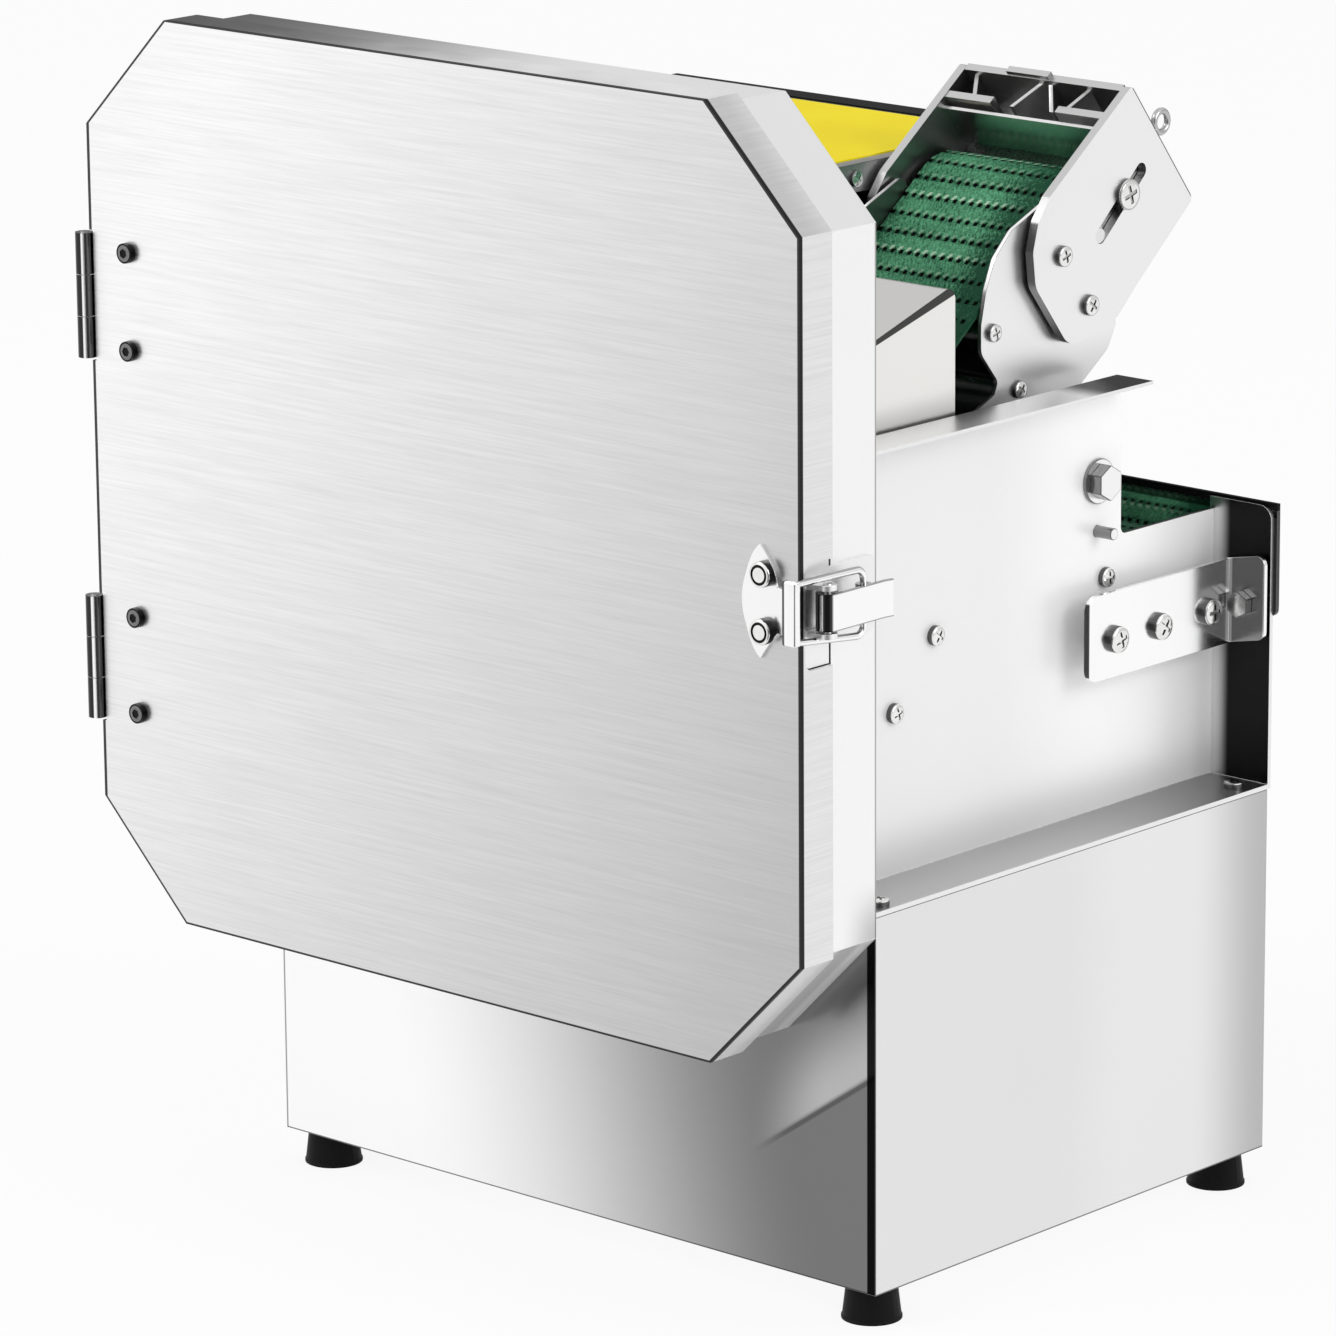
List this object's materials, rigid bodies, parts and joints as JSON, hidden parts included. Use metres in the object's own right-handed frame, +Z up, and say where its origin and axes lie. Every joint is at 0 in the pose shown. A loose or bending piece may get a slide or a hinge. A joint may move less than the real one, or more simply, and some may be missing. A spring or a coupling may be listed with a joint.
{
  "type": "vegetable cutting machine",
  "caption": "Table-top vegetable cutter: belt feed under a floating press belt, knife disc behind a latched door.",
  "frame": {"origin": "on the floor under the middle of the machine", "axes": "+Z up, +Y from the door to the feed end, +X to the latch side of the door"},
  "size_m": [0.4066, 0.3151, 0.4966],
  "materials": {
    "stainless": "brushed stainless sheet",
    "bright_fasteners": "bright plated steel",
    "dark_fasteners": "blackened steel",
    "black_rubber": "matt black rubber",
    "grey_cast": "painted casting",
    "machined_steel": "turned steel",
    "grey_paint": "grey paint",
    "green_belt": "woven green belt",
    "yellow_plate": "plain yellow plate",
    "black_plastic": "moulded plastic",
    "green_plastic": "moulded plastic",
    "red_plastic": "moulded plastic"
  },
  "bodies": {
    "frame": {"base_box": "stainless", "base_bottom": "stainless", "rubber_feet": "black_rubber", "right_side_panel": "stainless", "channel_wall": "stainless", "drive_box_cover": "stainless", "drive_box_lid": "stainless", "edge_trims": "black_rubber", "notice_plate": "yellow_plate", "rear_guard": "stainless", "knife_housing": "stainless", "door_seal": "black_rubber", "mouth_plate": "stainless", "inlet_hood": "stainless", "frame_hinge_leaves": "stainless", "pivot_pins": "stainless", "latch_base": "stainless", "bearings": "grey_cast", "bearing_bracket": "stainless", "drive_belt": "black_rubber", "knife_motor": "grey_paint", "feed_gearmotor": "grey_paint", "drive_chain": "machined_steel", "tail_axle": "stainless", "feed_belt": "green_belt", "feed_bed": "stainless", "tension_bracket": "stainless", "panel_hardware": "bright_fasteners", "pan_screws": "bright_fasteners", "button_bezels": "black_plastic", "cable_gland": "black_plastic"},
    "door": {"door_pan": "stainless", "door_hinge_leaves": "stainless", "hinge_screws": "dark_fasteners", "latch_catch": "stainless", "catch_bolts": "bright_fasteners"},
    "lever": {"latch_lever": "stainless"},
    "bail": {"latch_bail": "stainless"},
    "knife": {"knife_shaft": "stainless", "knife_carrier": "stainless", "knife_blades": "stainless", "knife_fasteners": "bright_fasteners", "knife_pulley": "grey_cast"},
    "motor_rotor": {"motor_pulley": "machined_steel"},
    "feed_output": {"motor_gear": "machined_steel"},
    "pivot_drive": {"pivot_shaft": "machined_steel"},
    "feed_front": {"feed_drive_roller": "stainless"},
    "feed_tail": {"tail_roller": "stainless"},
    "press_unit": {"press_side_plates": "stainless", "press_head": "stainless", "press_bed": "stainless", "press_belt": "green_belt", "press_cross_rods": "stainless", "press_fasteners": "bright_fasteners", "press_chain": "machined_steel"},
    "press_front": {"press_drive_roller": "stainless"},
    "press_rear": {"press_idler_roller": "stainless"},
    "start": {"start_button": "green_plastic"},
    "stop": {"stop_button": "red_plastic"},
    "knob": {"speed_knob": "black_plastic"}
  },
  "joints": [
    {"name": "door_swing", "type": "hinge", "parent": "frame", "child": "door", "pos_m": [-0.1975, -0.1485, 0.3056], "axis": [0, 0, -1], "range_deg": [0, 120]},
    {"name": "latch_swing", "type": "hinge", "parent": "frame", "child": "lever", "pos_m": [0.2, -0.138, 0.3037], "axis": [0, 0, -1], "range_deg": [0, 130]},
    {"name": "bail_swing", "type": "hinge", "parent": "lever", "child": "bail", "pos_m": [0.201, -0.118, 0.3037], "axis": [0, 0, -1], "range_deg": [-65, 0]},
    {"name": "knife_spin", "type": "hinge", "parent": "frame", "child": "knife", "pos_m": [0, -0.06, 0.3056], "axis": [0, 1, 0], "continuous": true},
    {"name": "motor_spin", "type": "hinge", "parent": "frame", "child": "motor_rotor", "pos_m": [0, -0.02, 0.086], "axis": [0, 1, 0], "continuous": true},
    {"name": "feed_spin", "type": "hinge", "parent": "frame", "child": "feed_front", "pos_m": [0.11, -0.064, 0.252], "axis": [1, 0, 0], "continuous": true},
    {"name": "tail_spin", "type": "hinge", "parent": "frame", "child": "feed_tail", "pos_m": [0.11, 0.119, 0.252], "axis": [1, 0, 0], "continuous": true},
    {"name": "output_spin", "type": "hinge", "parent": "frame", "child": "feed_output", "pos_m": [0.03, 0.0439, 0.22931], "axis": [1, 0, 0], "continuous": true},
    {"name": "pivot_spin", "type": "hinge", "parent": "frame", "child": "pivot_drive", "pos_m": [0.04, 0.074, 0.312], "axis": [1, 0, 0], "continuous": true},
    {"name": "press_float", "type": "hinge", "parent": "frame", "child": "press_unit", "pos_m": [0.11, 0.074, 0.312], "axis": [-1, 0, 0], "range_deg": [0, 8]},
    {"name": "press_front_spin", "type": "hinge", "parent": "press_unit", "child": "press_front", "pos_m": [0.11, -0.04628, 0.31003], "axis": [1, 0, 0], "continuous": true},
    {"name": "press_rear_spin", "type": "hinge", "parent": "press_unit", "child": "press_rear", "pos_m": [0.11, 0.08295, 0.411], "axis": [1, 0, 0], "continuous": true},
    {"name": "start_push", "type": "slide", "parent": "frame", "child": "start", "axis": [1, 0, 0], "range_m": [0, 0.003], "stiffness_N_per_m": 400},
    {"name": "stop_push", "type": "slide", "parent": "frame", "child": "stop", "axis": [1, 0, 0], "range_m": [0, 0.003], "stiffness_N_per_m": 400},
    {"name": "speed_turn", "type": "hinge", "parent": "frame", "child": "knob", "pos_m": [-0.15, 0.076, 0.33], "axis": [-1, 0, 0], "range_deg": [0, 270]}
  ],
  "couplings": [
    {"joint": "bail_swing", "follows": "latch_swing", "ratio": -0.5},
    {"joint": "motor_spin", "follows": "knife_spin", "ratio": 1.6497},
    {"joint": "tail_spin", "follows": "feed_spin", "ratio": 1},
    {"joint": "output_spin", "follows": "feed_spin", "ratio": 1},
    {"joint": "pivot_spin", "follows": "feed_spin", "ratio": -1.2},
    {"joint": "press_front_spin", "follows": "feed_spin", "ratio": -1.2},
    {"joint": "press_rear_spin", "follows": "feed_spin", "ratio": -1.2}
  ]
}
